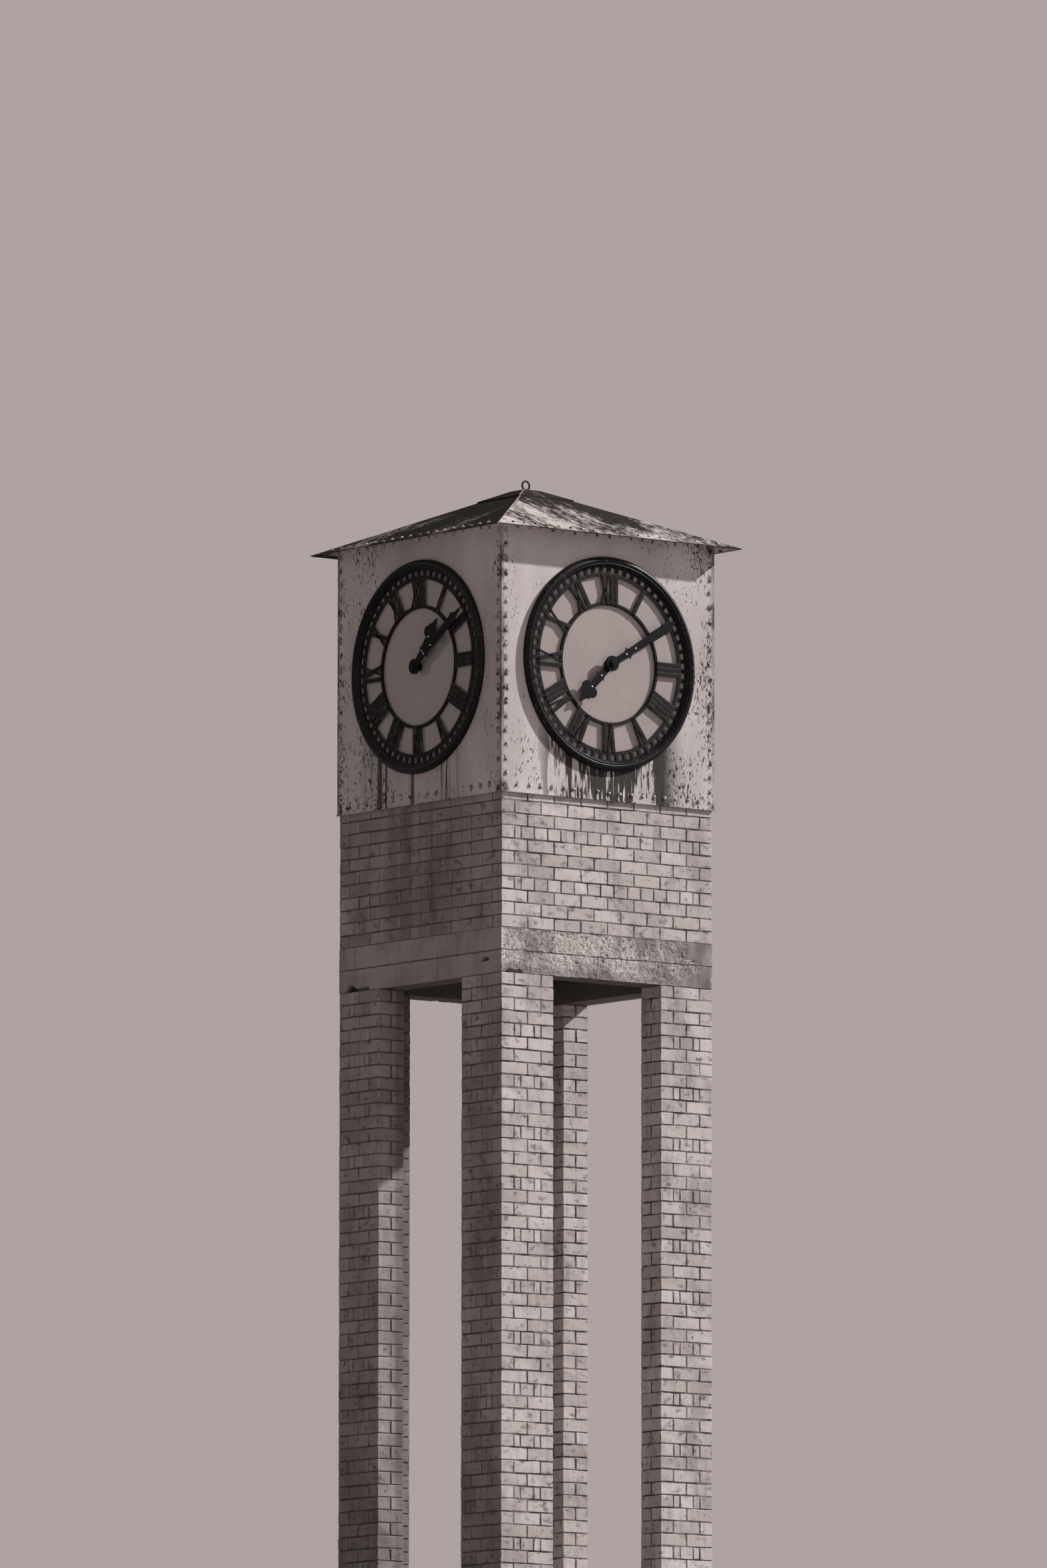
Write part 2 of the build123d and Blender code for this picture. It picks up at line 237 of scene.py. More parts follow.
def paintedBrick():
    place = newMaterial("paintedBrick")
    damp = attributeOf("damp")
    cloud = noiseOf(place, 3.6, (1, 1, 0.6), 6.0, (0, 0, 3))
    grain = noiseOf(place, 90.0, detail=4.0)
    smudges = spread(noiseOf(place, 15.0, (1, 1, 1.5), 6.0, (3, 1, 7)), 0.56, 0.72, 0.0, 0.8)
    drips = spread(noiseOf(place, 24.0, (1, 1, 0.10), 4.0, (1, 5, 3)), 0.52, 0.72, 0.0, 0.30)
    pits = spread(noiseOf(place, 60.0, (1, 1, 0.8), 2.0), 0.66, 0.71)
    pits = times(pits, spread(cloud, 0.46, 0.58))
    edgeDirt = spread(noiseOf(place, 11.0, (1, 1, 1.3), 5.0, (6, 2, 4)), 0.46, 0.62, 0.0, 0.8)
    edgeDirt = times(edgeDirt, spread(damp, 0.0, 1.0, 1.0, 0.35))
    # the damp faces get painted shade as well as damp stains, through the wet tone
    colour = layOver(brickLook["dull"], brickLook, pale=attributeOf("tint"),
                     grime=spread(cloud, 0.50, 0.70, 0.0, 0.62), drips=drips,
                     wet=times(damp, runOff(place)), grain=spread(grain, 0.3, 0.75, 0.0, 0.25),
                     smudges=smudges, edgeDirt=times(attributeOf("arris"), edgeDirt), pits=pits)
    normal = bumpOf(grain, 0.5, 0.002)
    normal = bumpOf(cloud, 0.4, 0.006, normal)
    normal = bumpOf(times(pits, -1.0), 0.6, 0.003, normal)
    return finishMaterial(colour, 0.75, normal, Specular_IOR_Level=0.3)


def runOff(place):
    # how dark a damp face is, painted shade with damp stains over it: most of all under the middle of the
    # dial, where water runs down
    fromAxis, across = onFace(place, towerHalf)
    cloud = spread(noiseOf(place, 3.2, (1, 1, 0.4), 4.0, (4, 9, 2)), 0.35, 0.65, 0.26, 0.56)
    lines = spread(noiseOf(place, 10.0, (1, 1, 0.06), 4.0, (0, 2, 0)), 0.40, 0.58, 0.35, 1.0)
    under = times(spread(across, 0.12, 0.55, 0.42, 0.0),
                  spread(axisOf(place, "Z"), beamBottom, brickTop, 0.2, 1.0))
    # the faces inside the passage get more of it, as painted shade
    inside = spread(fromAxis, towerHalf - 0.006, towerHalf - 0.03, 0.0, 0.30)
    return calc("ADD", plus(cloud, times(lines, under)), inside, clamp=True)


mortarLook = {"painted": tone(150, 138, 134), "bare": tone(50, 44, 42), "damp": tone(98, 90, 86)}


def paintedMortar():
    place = newMaterial("paintedMortar")
    cloud = noiseOf(place, 7.0, (1, 1, 0.8), 5.0)
    # on the faces marked damp the joints get painted shade as well as damp
    colour = layOver(mortarLook["painted"], mortarLook, bare=spread(cloud, 0.40, 0.56),
                     damp=times(attributeOf("damp"), 0.75))
    return finishMaterial(colour, 0.9, bumpOf(noiseOf(place, 140.0), 0.8, 0.003))


concreteLook = {"paint": tone(190, 178, 174), "thin": tone(146, 135, 131), "streaks": tone(104, 95, 92),
                "patchDirt": tone(98, 89, 86), "rough": tone(140, 129, 125), "grit": tone(240, 228, 224),
                "stained": tone(108, 98, 95), "footDirt": tone(84, 76, 73), "holes": tone(62, 55, 53),
                "inside": tone(82, 75, 72), "line": tone(44, 39, 38),
                "boardLine": beamBottom + 0.152, "wander": 0.009, "footHeight": 0.07}


def castConcrete():
    place = newMaterial("castConcrete")
    roughPart = attributeOf("rough")
    height = axisOf(place, "Z")
    cloud = noiseOf(place, 3.4, (1, 1, 0.9), 6.0, (2.0, 0, 5))
    grit = noiseOf(place, 75.0, (1, 1, 1.2), 7.0, rough=0.75)
    holes = spread(noiseOf(place, 48.0, (1, 1, 1.2), 4.0, (3, 3, 3)), 0.58, 0.65)
    # smooth faces: paint worn thin in streaks, and dirt on the patches at the ends of the rough faces
    streaks = spread(noiseOf(place, 13.0, (1, 1, 0.16), 4.0), 0.52, 0.72, 0.0, 0.4)
    patchDirt = spread(noiseOf(place, 7.0, (1, 1, 0.35), 5.0, (1, 1, 1)), 0.40, 0.66, 0.0, 0.8)
    smoothTone = layOver(concreteLook["paint"], concreteLook, thin=spread(cloud, 0.40, 0.68),
                         streaks=streaks, patchDirt=times(attributeOf("damp"), patchDirt))
    # rough faces: pitted, stained in clouds, and dirty along the foot
    footDirt = times(spread(height, beamBottom, beamBottom + concreteLook["footHeight"], 1.0, 0.0),
                     spread(grit, 0.38, 0.58))
    roughTone = layOver(concreteLook["rough"], concreteLook, grit=spread(grit, 0.36, 0.62),
                        stained=spread(cloud, 0.46, 0.60, 0.0, 0.66), footDirt=times(footDirt, 0.7),
                        holes=times(holes, 0.85))
    # painted shade on the soffit and on the faces inside
    outwards = addNode("ShaderNodeVectorMath", {0: place}, operation="ABSOLUTE")
    reach = larger(axisOf(outwards, "X"), axisOf(outwards, "Y"))
    inside = spread(reach, towerHalf - 0.045, towerHalf - 0.012, 0.85, 0.0)
    # a board line runs round at mid height, wandering a little
    wander = spread(noiseOf(place, 14.0), 0.0, 1.0, -concreteLook["wander"], concreteLook["wander"])
    fromLine = calc("ABSOLUTE", plus(minus(height, concreteLook["boardLine"]), wander))
    line = times(spread(fromLine, 0.0020, 0.0062, 1.0, 0.0),
                 spread(noiseOf(place, 9.0), 0.34, 0.44, 0.45, 1.0))
    colour = layOver(blendTones(roughPart, smoothTone, roughTone), concreteLook,
                     inside=inside, line=times(line, 0.85))
    relief = times(minus(grit, holes), spread(roughPart, 0, 1, 0.08, 1.0))
    normal = bumpOf(times(line, -1.0), 0.8, 0.004, bumpOf(relief, 0.7, 0.005))
    return finishMaterial(colour, 0.88, normal)


# Rivets: heads along the edges of every plate and along the eaves
rivets = {"radius": 0.0130, "height": 0.0105, "pitch": 0.0986, "columnAt": 0.889, "columnStart": 0.125,
          "columnCount": 18, "rowAt": 0.055, "rowCount": 17, "topRowDrop": 0.035, "roofRow": 0.065,
          "wander": 0.009, "swell": (0.9, 1.15), "roofRise": 0.448, "roofThickness": 0.006}
# Rust on the case: where it lies, in metres from the middle of a face or of its dial
rust = {"dialEdge": (0.715, 0.74), "besideDial": (0.48, 0.66), "belowDial": (0.3, 0.55),
        "corner": (0.897, 0.912), "columnStain": 0.024, "rowStain": 0.020, "raggedness": 0.022}


def caseRust(place):
    # how rusty a place on the case is, from its distances to the rivet rows and to the dial
    height = axisOf(place, "Z")
    across = onFace(place, caseHalf)[1]
    below = minus(dialCentre, height)
    reach = hypotOf(across, below)
    # the front and right faces are sunny, and every face rusts more away from the two corners
    # where a sunny face meets a shaded one
    facing = addNode("ShaderNodeVectorMath", {0: place, 1: (1, -1, 0)}, "Value", operation="DOT_PRODUCT")
    sunny = spread(facing, -0.1, 0.1)
    farEnd = spread(calc("ABSOLUTE", facing), 0.1, 1.8, -0.5, 0.5)
    # short upright flecks, thickest at the sides and low down
    crowd = plus(spread(noiseOf(place, 3.0, (1, 1, 0.7), 4.0, (0, 0, 1)), 0.0, 1.0, -0.5, 0.5),
                 spread(across, 0.35, 0.80, 0.0, 0.10), spread(below, 0.2, 0.85, 0.0, 0.06),
                 times(farEnd, 0.20))
    crowd = spread(crowd, -0.05, 0.22, -0.025, 0.13)
    small = plus(noiseOf(place, 92.0, (1, 1, 0.34), 3.0), crowd)
    large = plus(noiseOf(place, 44.0, (1, 1, 0.40), 4.0, (5, 2, 1)), crowd)
    specks = larger(spread(small, 0.70, 0.73), spread(large, 0.735, 0.775))
    # broad ragged runs from under the dial down to the foot, on the sunny faces
    underDial = times(spread(reach, *rust["dialEdge"]), spread(across, *rust["besideDial"], 1.0, 0.0),
                      spread(below, *rust["belowDial"]))
    fine = noiseOf(place, 46.0, (1, 1, 0.10), 3.0)
    runs = plus(noiseOf(place, 11.0, (1, 1, 0.05), 5.0, (0.4, 0.4, 0)), times(minus(fine, 0.5), 0.62),
                times(farEnd, 0.16))
    fading = spread(below, 0.66, 0.95, -0.03, 0.03)
    ragged = spread(noiseOf(place, 30.0, (1, 1, 0.25), 4.0), 0.3, 0.6, 0.96, 1.0)
    streaks = times(spread(minus(runs, fading), 0.435, 0.475), underDial, ragged)
    # on the two shaded faces only thin drips have run
    drips = plus(noiseOf(place, 19.0, (1, 1, 0.028), 4.0, (0, 0.3, 0)), times(farEnd, 0.12))
    drips = larger(spread(drips, 0.54, 0.60, 0.0, 0.9), 0.14)
    streaks = larger(times(streaks, sunny), times(drips, underDial, minus(1.0, sunny)))
    # stains round the rivets and down the corners
    rusty = spread(noiseOf(place, 5.0, detail=2.0), 0.40, 0.60, 0.35, 1.0)
    edgeNoise = spread(noiseOf(place, 60.0, (1, 1, 0.5), 4.0), 0.0, 1.0,
                       -rust["raggedness"], rust["raggedness"])

    def fromNearest(value, start):
        steps = calc("DIVIDE", minus(value, start), rivets["pitch"])
        return times(minus(calc("FRACT", plus(steps, 0.5)), 0.5), rivets["pitch"])

    def stain(sideways, upwards, size):
        distance = plus(hypotOf(sideways, times(upwards, 0.7)), edgeNoise)
        return spread(distance, size * 0.55, size, 1.0, 0.0)

    columnStain = stain(minus(across, rivets["columnAt"]),
                        fromNearest(height, plateBottom + rivets["columnStart"]), rust["columnStain"])
    rowStain = stain(fromNearest(across, 0.0),
                     minus(height, plateBottom + rivets["rowAt"]), rust["rowStain"])
    cornerStain = spread(plus(across, edgeNoise), *rust["corner"], 0.0, 0.9)
    return larger(specks, streaks, times(larger(columnStain, rowStain, cornerStain), rusty))


caseLook = {"pale": tone(230, 219, 216), "dull": tone(198, 186, 182), "rusted": tone(44, 38, 36)}


def casePaint():
    place = newMaterial("casePaint")
    rusted = caseRust(place)
    cloud = noiseOf(place, 3.0, (1, 1, 0.4), 4.0)
    colour = layOver(caseLook["pale"], caseLook, dull=spread(cloud, 0.35, 0.75), rusted=rusted)
    normal = bumpOf(noiseOf(place, 2.2, detail=2.0), 0.35, 0.02)
    normal = bumpOf(plus(rusted, noiseOf(place, 220.0)), 0.35, 0.0015, normal)
    return finishMaterial(colour, spread(rusted, 0.0, 1.0, 0.38, 0.8), normal, Specular_IOR_Level=0.35)


headLook = {"paint": tone(214, 202, 199), "rusty": tone(62, 52, 49)}


def rivetPaint():
    place = newMaterial("rivetPaint")
    rusty = spread(noiseOf(place, 48.0, detail=2.0), 0.44, 0.6)
    colour = layOver(headLook["paint"], headLook, rusty=rusty)
    return finishMaterial(colour, 0.5, bumpOf(noiseOf(place, 300.0), 0.5, 0.001))


roofLook = {"paint": tone(208, 196, 192), "dirt": tone(58, 53, 50), "worn": tone(120, 110, 106),
            "eaveDirt": tone(66, 60, 57), "hips": tone(192, 180, 176),
            "runs": 0.5, "mottle": 1.2, "cloud": 1.3, "cloudShift": (0.3, 0, 0), "shade": 0.15}


def roofPaint():
    place = newMaterial("roofPaint")
    x = axisOf(place, "X")
    y = axisOf(place, "Y")
    wide = calc("ABSOLUTE", x)
    deep = calc("ABSOLUTE", y)
    # each slope has its own pattern: along it, down it, and a number for the slope
    onSide = calc("GREATER_THAN", wide, deep)
    across = addNode("ShaderNodeMix", {0: onSide, 2: x, 3: y}, data_type="FLOAT")
    down = larger(wide, deep)
    shaded = calc("GREATER_THAN", y, x)  # the left and back slopes, which stay damp and get painted shade
    slopeNumber = plus(times(onSide, 5.0), times(shaded, 3.0))
    across = times(across, minus(1.0, times(shaded, 2.0)))
    slope = addNode("ShaderNodeCombineXYZ", {0: across, 1: down, 2: slopeNumber})
    # dirt washes down from the top, heaviest below the cap and to the right
    runs = noiseOf(slope, 6.5, (1, 0.16, 1), 6.0, rough=0.62)
    mottle = noiseOf(slope, 26.0, (1, 0.40, 1), 6.0, rough=0.75)
    cloud = noiseOf(slope, 1.7, (1, 0.7, 1), 4.0, roofLook["cloudShift"])
    belowCap = spread(down, 0.12, 0.60, 0.30, -0.03)
    rightPart = spread(calc("DIVIDE", across, larger(down, 0.05)), -0.1, 0.5)
    upperPart = spread(down, 0.45, 0.95, 0.22, 0.05)
    # the extra dirt on the left and back slopes is partly painted shade
    dirt = plus(times(runs, roofLook["runs"]), times(mottle, roofLook["mottle"]),
                times(cloud, roofLook["cloud"]), belowCap, times(rightPart, upperPart),
                times(shaded, roofLook["shade"]))
    dirt = spread(dirt, 1.35, 1.58)
    worn = spread(noiseOf(slope, 52.0, (1, 0.3, 1), 4.0, (2, 2, 2)), 0.60, 0.70, 0.0, 0.45)
    # darker towards the eaves, over the last 14 mm of each slope
    eaveDirt = spread(down, eaveHalf - 0.014, eaveHalf - 0.003, 0.0, 0.75)
    hips = spread(calc("ABSOLUTE", minus(wide, deep)), 0.004, 0.009, 0.8, 0.0)
    colour = layOver(roofLook["paint"], roofLook, dirt=dirt, worn=worn, eaveDirt=eaveDirt, hips=hips)
    normal = bumpOf(mottle, 0.5, 0.003, bumpOf(noiseOf(place, 1.8, detail=2.0), 0.4, 0.03))
    return finishMaterial(colour, spread(dirt, 0.0, 1.0, 0.6, 0.95), normal, Specular_IOR_Level=0.0)


ironLook = {"black": tone(15, 14, 15), "grey": tone(27, 24, 25), "spots": tone(120, 106, 99)}


def blackIron():
    place = newMaterial("blackIron")
    spots = times(spread(noiseOf(place, 75.0), 0.60, 0.68),
                  spread(noiseOf(place, 4.5, detail=2.0), 0.46, 0.60))
    colour = layOver(ironLook["black"], ironLook, grey=noiseOf(place, 12.0), spots=spots)
    normal = bumpOf(noiseOf(place, 60.0), 0.3, 0.0008)
    return finishMaterial(colour, spread(spots, 0.0, 1.0, 0.42, 0.8), normal, Specular_IOR_Level=0.17)


castingLook = {"black": tone(15, 14, 15), "dust": tone(52, 45, 43), "chips": tone(112, 98, 91)}


def dustyIron():
    # the dial's open casting, which is duller than its bezel
    place = newMaterial("dustyIron")
    dust = spread(noiseOf(place, 9.0, detail=4.0), 0.42, 0.70, 0.0, 0.5)
    chips = spread(noiseOf(place, 90.0), 0.66, 0.71, 0.0, 0.7)
    colour = layOver(castingLook["black"], castingLook, dust=dust, chips=chips)
    normal = bumpOf(noiseOf(place, 130.0), 0.4, 0.0008)
    return finishMaterial(colour, spread(dust, 0.0, 0.5, 0.55, 0.8), normal, Specular_IOR_Level=0.16)


edgeLook = {"black": tone(24, 21, 21), "rubbed": tone(104, 92, 86)}


def wornEdge():
    # narrow bevels of the casting, rubbed through in places; the lighter rubbed patches are also painted
    # highlights on the edges
    place = newMaterial("wornEdge")
    rubbed = spread(noiseOf(place, 26.0, detail=4.0), 0.42, 0.60)
    colour = layOver(edgeLook["black"], edgeLook, rubbed=rubbed)
    return finishMaterial(colour, 0.5, bumpOf(noiseOf(place, 130.0), 0.4, 0.0008), Specular_IOR_Level=0.3)


handLook = {"black": tone(10, 9, 10), "dusty": tone(22, 20, 21)}


def handPaint():
    place = newMaterial("handPaint")
    cloud = noiseOf(place, 18.0)
    colour = layOver(handLook["black"], handLook, dusty=cloud)
    normal = bumpOf(noiseOf(place, 160.0), 0.12, 0.0003)
    return finishMaterial(colour, spread(cloud, 0.3, 0.7, 0.50, 0.65), normal, Specular_IOR_Level=0.1)


studLook = {"bright": tone(240, 234, 231), "dull": tone(196, 190, 187)}


def brightSteel():
    grain = noiseOf(newMaterial("brightSteel"), 400.0)
    colour = layOver(studLook["bright"], studLook, dull=grain)
    return finishMaterial(colour, 0.5, bumpOf(grain, 0.2, 0.0004), Metallic=1.0)


glassLook = {"opal": tone(191, 178, 175), "clouds": tone(182, 168, 165), "dust": tone(150, 137, 133)}


def opalGlass():
    place = newMaterial("opalGlass")
    cloud = noiseOf(place, 1.6)
    dust = spread(noiseOf(place, 30.0, (1, 1, 0.4), 4.0), 0.5, 0.8, 0.0, 0.2)
    colour = layOver(glassLook["opal"], glassLook, clouds=spread(cloud, 0.35, 0.65), dust=dust)
    return finishMaterial(colour, spread(dust, 0.0, 0.2, 0.06, 0.22), bumpOf(cloud, 0.15, 0.01))


brassLook = {"brass": tone(74, 61, 44), "tarnish": tone(38, 31, 24)}


# dark all over: tarnish, and painted shade on the bush between the hub and the glass
def tarnishedBrass():
    cloud = noiseOf(newMaterial("tarnishedBrass"), 60.0)
    colour = layOver(brassLook["brass"], brassLook, tarnish=spread(cloud, 0.4, 0.6))
    rough = spread(cloud, 0.4, 0.6, 0.3, 0.6)
    return finishMaterial(colour, rough, bumpOf(cloud, 0.3, 0.001), Metallic=1.0)


steelLook = {"rust": tone(62, 54, 52), "dark": tone(32, 28, 28)}


def rustedSteel():
    cloud = noiseOf(newMaterial("rustedSteel"), 55.0, detail=4.0)
    colour = layOver(steelLook["rust"], steelLook, dark=spread(cloud, 0.4, 0.62))
    return finishMaterial(colour, 0.75, bumpOf(cloud, 0.7, 0.002))


brickPaint = paintedBrick()
mortarPaint = paintedMortar()
concrete = castConcrete()
headPaint = rivetPaint()
iron = blackIron()
casting = dustyIron()
edges = wornEdge()
steel = brightSteel()
rusted = rustedSteel()
slotMaterials = {"painted_brick": brickPaint, "concrete": concrete, "case_steel": casePaint(),
                 "roof_steel": roofPaint(), "eye_steel": rusted, "dial_iron": casting,
                 "opal_glass": opalGlass(), "bush_brass": tarnishedBrass(), "hand_paint": handPaint()}
print("materials made")
for part in frame["record"]["subparts"]:
    mesh = nodes[part["node"]].data
    mesh.materials.clear()
    mesh.materials.append(slotMaterials[part["material_slot"]])

# Bricks: S is a stretcher, H a header and C a queen closer, with the painted joints set back
bricks = {"S": 0.220, "H": 0.105, "C": 0.0475, "joint": 0.010, "height": 0.0775, "wythe": 0.105,
          "arris": 0.0038, "recess": 0.0042, "sway": 0.0016, "tilt": 0.35, "wear": 0.0034,
          "wearScale": 23, "paint": 0.0024, "chipped": 0.03, "chip": (0.0054, 0.018), "slack": 0.001,
          "faceDepth": 0.0037, "proudDepth": 0.0033, "shelter": 0.03, "shade": -0.3, "square": 0.93}
course = bricks["height"] + bricks["joint"]
dice = random.Random(7)


def layRun(pattern, start):
    # the bricks of one course, from left to right, each widened into its joints by coats of paint
    at = start
    for number, letter in enumerate(pattern):
        low = at - (bricks["paint"] if number else 0)
        high = at + bricks[letter] + (bricks["paint"] if number < len(pattern) - 1 else 0)
        yield letter, low, high
        at += bricks[letter] + bricks["joint"]


def layBrick(bm, tint, side, u0, u1, v0, v1, z0):
    # u runs along the face, v inwards from it
    sway = dice.uniform(0, bricks["sway"])
    middle = Vector(((u0 + u1) / 2, -towerHalf + (v0 + v1) / 2 + sway, z0 + bricks["height"] / 2))
    height = bricks["height"] + 2 * (bricks["paint"] - sway)
    size = Matrix.Diagonal((u1 - u0 - sway, v1 - v0 - sway, height, 1))
    lean = Matrix.Rotation(math.radians(dice.uniform(-1, 1) * bricks["tilt"]), 4, "Y")
    place = turned(side) @ Matrix.Translation(middle) @ lean @ size
    made = bmesh.ops.create_cube(bm, size=1, matrix=place)["verts"]
    shade = dice.random()
    heart = turned(side) @ middle
    for vert in made:
        vert[tint] = shade
        if dice.random() < bricks["chipped"]:
            vert.co = vert.co.lerp(heart, dice.uniform(*bricks["chip"]))


def keepProud(vert, before):
    # however worn, a brick's face never sinks behind the joints beside it
    planes = ((towerHalf, 1), (towerHalf - wallDepth, -1), (towerHalf - pierLeg, -1))
    for axis in (0, 1):
        for plane, outwards in planes:
            wasDeep = (plane - abs(before[axis])) * outwards
            isDeep = (plane - abs(vert.co[axis])) * outwards
            onPlane = -bricks["slack"] < wasDeep < bricks["faceDepth"]
            if onPlane and isDeep > bricks["proudDepth"]:
                vert.co[axis] = math.copysign(plane - bricks["proudDepth"] * outwards, before[axis])


def wearBricks(bm):
    bmesh.ops.bevel(bm, geom=bm.edges[:], offset=bricks["arris"], affect="EDGES", segments=1,
                    profile=0.5, material=-1)
    for vert in bm.verts:
        before = vert.co.copy()
        vert.co += noise.noise_vector(before * bricks["wearScale"]) * bricks["wear"]
        keepProud(vert, before)


def addCore(bm, outline, bottom, top):
    # the joints' painted face: a block behind the bricks, from its outline in plan
    made = [bm.verts.new((x, y, bottom)) for x, y in outline]
    face = bm.faces.new(made)
    risen = newVerts(bmesh.ops.extrude_face_region(bm, geom=[face]))
    bmesh.ops.translate(bm, verts=risen, vec=(0, 0, top - bottom))
    solid = {f for v in made + risen for f in v.link_faces}
    bmesh.ops.recalc_face_normals(bm, faces=list(solid))
    for face in solid:
        face.material_index = 1


def weatherFaces(bm):
    # faces turned away from the key lamp, and the left half inside, are marked damp: this paints shade on
    # them as well as damp stains; dirt gathers on the arrises
    damp = bm.faces.layers.float.new("damp")
    arris = bm.faces.layers.float.new("arris")
    bmesh.ops.recalc_face_normals(bm, faces=bm.faces)
    for face in bm.faces:
        place = face.calc_center_median()
        sheltered = max(abs(place.x), abs(place.y)) < towerHalf - bricks["shelter"]
        shady = place.x < 0 if sheltered else face.normal.x - face.normal.y < bricks["shade"]
        face[damp] = 1.0 if shady else 0.0
        face[arris] = 1.0 if max(abs(v) for v in face.normal) < bricks["square"] else 0.0


def wallPattern(side, level):
    plain = side in ("front", "back")
    if level % 4 == 3:
        return "HC" + 13 * "H" + "CH" if plain else "S" + 12 * "H" + "S"
    halfStart = (level % 4 == 1) == plain
    return "H" + 7 * "S" + "H" if halfStart else 8 * "S"


def pierPattern(side, level):
    # level counts courses down from the ring
    plain = side in ("front", "back")
    if (level % 2 == 1) == plain:
        return "SS"
    heading = level % 4 == (0 if plain else 1) and level > 0
    return "HCHCH" if heading else "HSH"


def buildWall(side):
    bm = bmesh.new()
    tint = bm.verts.layers.float.new("tint")
    plain = side in ("front", "back")
    inner = towerHalf - wallDepth
    for level in range(round((brickTop - beamTop) / course)):
        z0 = beamTop + level * course + bricks["joint"] / 2
        run = list(layRun(wallPattern(side, level), -towerHalf))
        for letter, u0, u1 in run if plain else run[1:-1]:
            depth = bricks["wythe"] if letter == "S" else wallDepth
            layBrick(bm, tint, side, u0, u1, 0, depth, z0)
        if level % 4 != 3:
            for letter, u0, u1 in layRun(6 * "S", -inner + bricks["joint"]):
                layBrick(bm, tint, side, u0, u1, wallDepth - bricks["wythe"], wallDepth, z0)
    wearBricks(bm)
    reach = towerHalf - bricks["recess"] if plain else inner + bricks["recess"]
    near = -towerHalf + bricks["recess"]
    far = -inner - bricks["recess"]
    plan = ((-reach, near), (reach, near), (reach, far), (-reach, far))
    addCore(bm, [(turned(side) @ Vector((x, y, 0))).xy for x, y in plan], beamTop, brickTop)
    weatherFaces(bm)
    makePiece(f"brickwork_{side}", bm, [brickPaint, mortarPaint],
              replaced=[f"brick_wall_{side}"])


def buildPier(corner):
    bm = bmesh.new()
    tint = bm.verts.layers.float.new("tint")
    alongX, alongY = corners[corner]
    plainSide = "front" if alongY < 0 else "back"
    otherSide = "left" if alongX < 0 else "right"
    legs = round(beamBottom / course)
    for side in (plainSide, otherSide):
        # does this leg start at the face's left end, as seen from outside
        atLeft = {"front": alongX < 0, "right": alongY < 0, "back": alongX > 0, "left": alongY > 0}[side]
        for level in range(legs):
            z0 = beamBottom - (level + 1) * course + bricks["joint"] / 2
            run = list(layRun(pierPattern(side, level), 0))
            for letter, c0, c1 in run if side == plainSide else run[1:]:
                pieces = [(c0, c1, 0, wallDepth)]
                if letter == "S":
                    pieces = [(c0, c1, 0, bricks["wythe"])]
                    inward = max(c0, wallDepth + bricks["joint"])
                    if c1 - inward > bricks["C"]:
                        pieces.append((inward, c1, wallDepth - bricks["wythe"], wallDepth))
                for a, b, v0, v1 in pieces:
                    u0, u1 = (a - towerHalf, b - towerHalf) if atLeft else (towerHalf - b, towerHalf - a)
                    layBrick(bm, tint, side, u0, u1, v0, v1, z0)
    wearBricks(bm)
    out = towerHalf - bricks["recess"]
    end = towerHalf - pierLeg + bricks["recess"]
    back = towerHalf - wallDepth + bricks["recess"]
    plan = ((out, out), (end, out), (end, back), (back, back), (back, end), (out, end))
    addCore(bm, [(x * alongX, y * alongY) for x, y in plan], 0, beamBottom)
    weatherFaces(bm)
    makePiece(f"pier_brickwork_{corner}", bm, [brickPaint, mortarPaint],
              replaced=[f"pier_{corner}"])


for side in sides:
    buildWall(side)
for corner in corners:
    buildPier(corner)
print("brickwork laid")

# Concrete ring: cast rough on two faces and smooth on two, with a patch and some damage
ring = {"columns": 150, "rows": 26, "inner": towerHalf - wallDepth, "relief": 0.007, "chip": 0.009,
        "chipScale": 31, "fineScale": 62, "coarseScale": 27, "damageScale": 40, "patchBlend": 0.035,
        "patchScale": 9, "patchWander": 0.03, "edgeRough": 0.6, "edge": 0.005, "weld": 0.0002}
# side, distance from the face's middle, height over the ring's foot, half sizes, depth
damage = [("left", -0.785, 0.012, 0.040, 0.022, 0.060), ("left", -0.66, 0.008, 0.075, 0.013, 0.030),
          ("left", 0.735, 0.098, 0.036, 0.009, 0.035), ("right", -0.70, 0.010, 0.060, 0.014, 0.030),
          ("front", -0.80, 0.006, 0.060, 0.009, 0.020), ("back", 0.4, 0.008, 0.080, 0.012, 0.020)]


def patchEdge(rise):
    # where the smooth patch at a rough face's right end starts, by height from 0 to 1
    stations = [(0.0, 0.60), (0.12, 0.60), (0.36, 0.80), (0.55, 0.815), (0.66, 0.70), (1.0, 0.70)]
    for (low, a), (high, b) in zip(stations, stations[1:]):
        if rise <= high:
            return a + (b - a) * (rise - low) / (high - low)
    return stations[-1][1]


